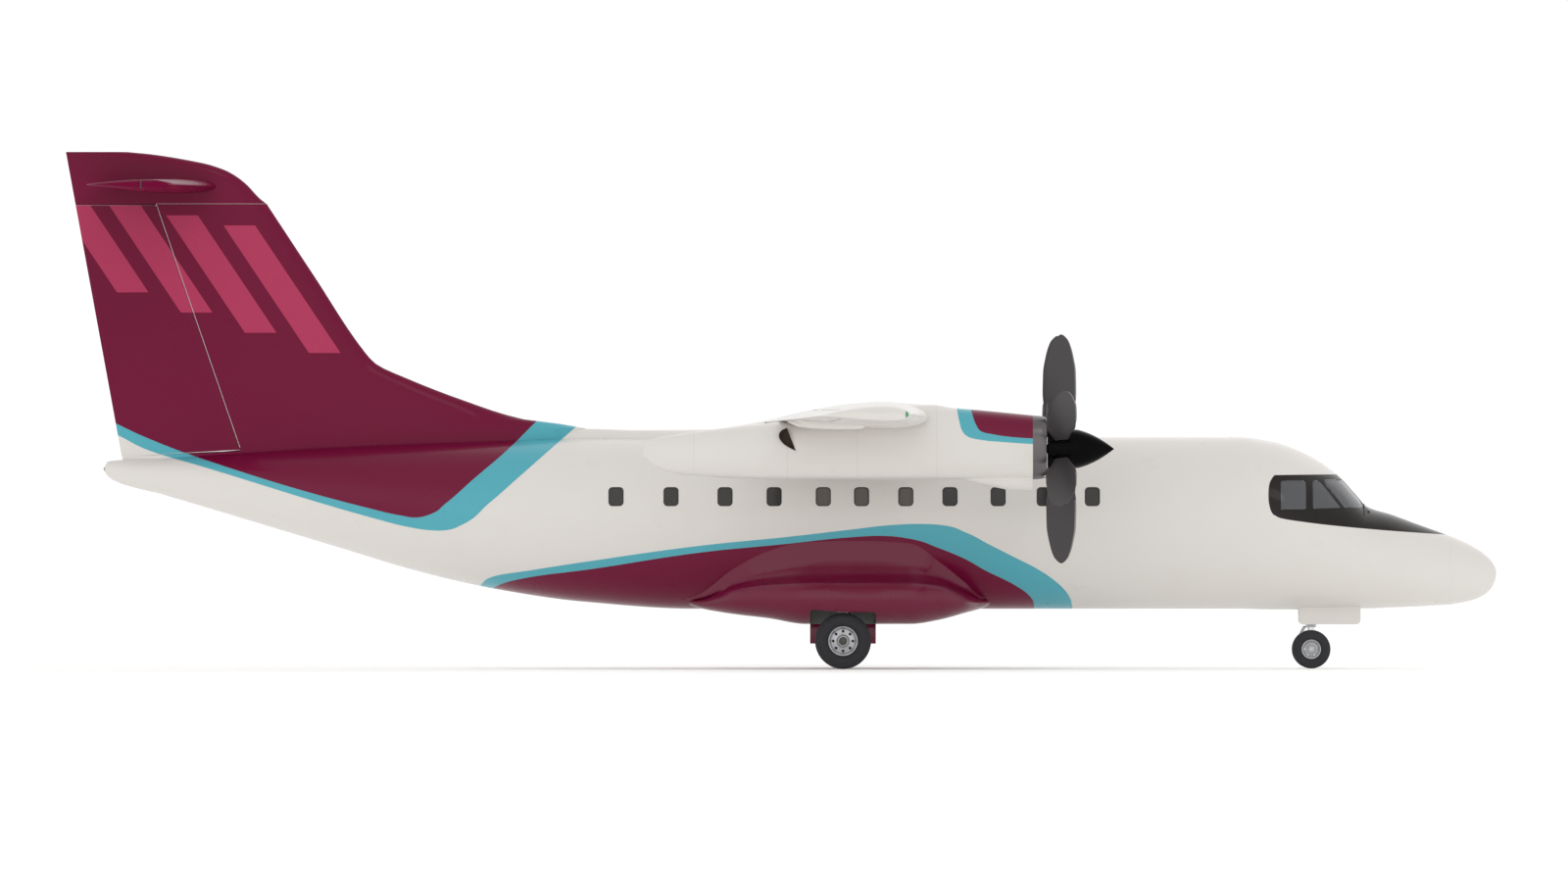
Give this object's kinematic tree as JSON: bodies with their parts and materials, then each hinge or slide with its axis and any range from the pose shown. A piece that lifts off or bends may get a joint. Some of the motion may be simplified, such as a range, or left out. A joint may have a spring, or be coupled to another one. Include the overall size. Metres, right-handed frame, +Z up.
{
  "type": "turboprop airliner",
  "caption": "High-wing T-tail turboprop airliner parked on its gear, with propellers, rudder, elevators, ailerons, flaps, steering and an airstair door that move.",
  "frame": {"origin": "on the ground, below the middle of the aircraft's length and width", "axes": "+X to the nose, +Y to port, +Z up"},
  "size_m": [22.6692, 25.6, 8.186],
  "materials": {
    "white_paint": "gloss",
    "white_composite": "gloss",
    "burgundy_paint": "gloss",
    "burgundy_composite": "gloss",
    "black_gloss": "gloss",
    "blade_grey": "satin",
    "lip_metal": "satin",
    "cockpit_glass": "gloss",
    "tyre": "matte",
    "rim_metal": "satin",
    "gear_paint": "satin",
    "engine_metal": "satin",
    "seat_fabric": "matte",
    "panel_plastic": "matte"
  },
  "bodies": {
    "airframe": {"radome": "white_composite", "cockpit_section": "white_paint", "entry_section": "white_paint", "centre_fuselage": "white_paint", "aft_fuselage": "white_paint", "wing_fairing": "white_composite", "gear_fairing_left": "burgundy_paint", "gear_fairing_right": "burgundy_paint", "windshield_left": "cockpit_glass", "windshield_right": "cockpit_glass", "front_side_window_left": "cockpit_glass", "front_side_window_right": "cockpit_glass", "rear_side_window_left": "cockpit_glass", "rear_side_window_right": "cockpit_glass", "instrument_panel": "panel_plastic", "pilot_seat_left": "seat_fabric", "pilot_seat_right": "seat_fabric", "wing_centre": "white_paint", "outer_wing_left": "white_paint", "outer_wing_right": "white_paint", "fin": "burgundy_composite", "fin_tip": "burgundy_composite", "tailplane": "burgundy_composite", "nacelle_left": "white_paint", "nacelle_right": "white_paint", "intake_lip_left": "lip_metal", "intake_lip_right": "lip_metal", "engine_left": "engine_metal", "engine_right": "engine_metal", "nose_gear_leg": "gear_paint", "main_gear_leg_left": "gear_paint", "main_gear_leg_right": "gear_paint", "nose_gear_door_left": "white_paint", "nose_gear_door_right": "white_paint", "main_gear_door_left": "burgundy_paint", "main_gear_door_right": "burgundy_paint"},
    "airstair": {"passenger_door": "white_paint"},
    "flaps_left": {"flap_inner_left": "white_paint", "flap_outer_left": "white_paint"},
    "flaps_right": {"flap_inner_right": "white_paint", "flap_outer_right": "white_paint"},
    "aileron_left": {"aileron_left": "white_paint"},
    "aileron_right": {"aileron_right": "white_paint"},
    "rudder": {"rudder": "burgundy_composite"},
    "elevator_left": {"elevator_left": "burgundy_composite"},
    "elevator_right": {"elevator_right": "burgundy_composite"},
    "propeller_left": {"propeller_left": "blade_grey", "spinner_left": "black_gloss"},
    "propeller_right": {"propeller_right": "blade_grey", "spinner_right": "black_gloss"},
    "nose_steering": {"nose_gear_fork": "gear_paint"},
    "nose_wheels": {"nose_rim_left": "rim_metal", "nose_rim_right": "rim_metal", "nose_tyre_left": "tyre", "nose_tyre_right": "tyre"},
    "main_wheel_left": {"main_rim_left": "rim_metal", "main_tyre_left": "tyre"},
    "main_wheel_right": {"main_rim_right": "rim_metal", "main_tyre_right": "tyre"}
  },
  "joints": [
    {"name": "airstair_door", "type": "hinge", "parent": "airframe", "child": "airstair", "pos_m": [6.25, 1.145, 1.596], "axis": [-1, 0, 0], "range_deg": [0, 130]},
    {"name": "flaps_left_extend", "type": "hinge", "parent": "airframe", "child": "flaps_left", "pos_m": [0.49284, 1.5, 3.9688], "axis": [-0.0387, -0.9992, -0.0045], "range_deg": [0, 35]},
    {"name": "flaps_right_extend", "type": "hinge", "parent": "airframe", "child": "flaps_right", "pos_m": [0.49284, -1.5, 3.9688], "axis": [0.0387, -0.9992, 0.0045], "range_deg": [0, 35]},
    {"name": "aileron_left_swing", "type": "hinge", "parent": "airframe", "child": "aileron_left", "pos_m": [0.77173, 8.7, 4.00137], "axis": [0.0387, 0.9992, 0.0045], "range_deg": [-20, 20]},
    {"name": "aileron_right_swing", "type": "hinge", "parent": "airframe", "child": "aileron_right", "pos_m": [0.77173, -8.7, 4.00137], "axis": [-0.0387, 0.9992, -0.0045], "range_deg": [-20, 20]},
    {"name": "rudder_swing", "type": "hinge", "parent": "airframe", "child": "rudder", "pos_m": [-8.6, 0, 3.45], "axis": [-0.3249, 0, 0.9457], "range_deg": [-25, 25]},
    {"name": "elevator_left_swing", "type": "hinge", "parent": "airframe", "child": "elevator_left", "pos_m": [-10.047, 0.2, 7.642], "axis": [0, 1, 0], "range_deg": [-15, 25]},
    {"name": "elevator_right_swing", "type": "hinge", "parent": "airframe", "child": "elevator_right", "pos_m": [-10.047, -0.2, 7.642], "axis": [0, 1, 0], "range_deg": [-15, 25]},
    {"name": "propeller_left_spin", "type": "hinge", "parent": "airframe", "child": "propeller_left", "pos_m": [4.41, 3.75, 3.481], "axis": [1, 0, 0], "continuous": true},
    {"name": "propeller_right_spin", "type": "hinge", "parent": "airframe", "child": "propeller_right", "pos_m": [4.41, -3.75, 3.481], "axis": [1, 0, 0], "continuous": true},
    {"name": "nose_steer", "type": "hinge", "parent": "airframe", "child": "nose_steering", "pos_m": [8.4, 0, 0.30618], "axis": [0, 0, 1], "range_deg": [-55, 55]},
    {"name": "nose_wheel_spin", "type": "hinge", "parent": "nose_steering", "child": "nose_wheels", "pos_m": [8.4, 0, 0.30618], "axis": [0, 1, 0], "continuous": true},
    {"name": "main_wheel_left_spin", "type": "hinge", "parent": "airframe", "child": "main_wheel_left", "pos_m": [0.98, 1.6, 0.44446], "axis": [0, 1, 0], "continuous": true},
    {"name": "main_wheel_right_spin", "type": "hinge", "parent": "airframe", "child": "main_wheel_right", "pos_m": [0.98, -1.6, 0.44446], "axis": [0, 1, 0], "continuous": true}
  ],
  "couplings": [
    {"joint": "flaps_right_extend", "follows": "flaps_left_extend", "ratio": 1},
    {"joint": "aileron_right_swing", "follows": "aileron_left_swing", "ratio": -1},
    {"joint": "elevator_right_swing", "follows": "elevator_left_swing", "ratio": 1}
  ]
}
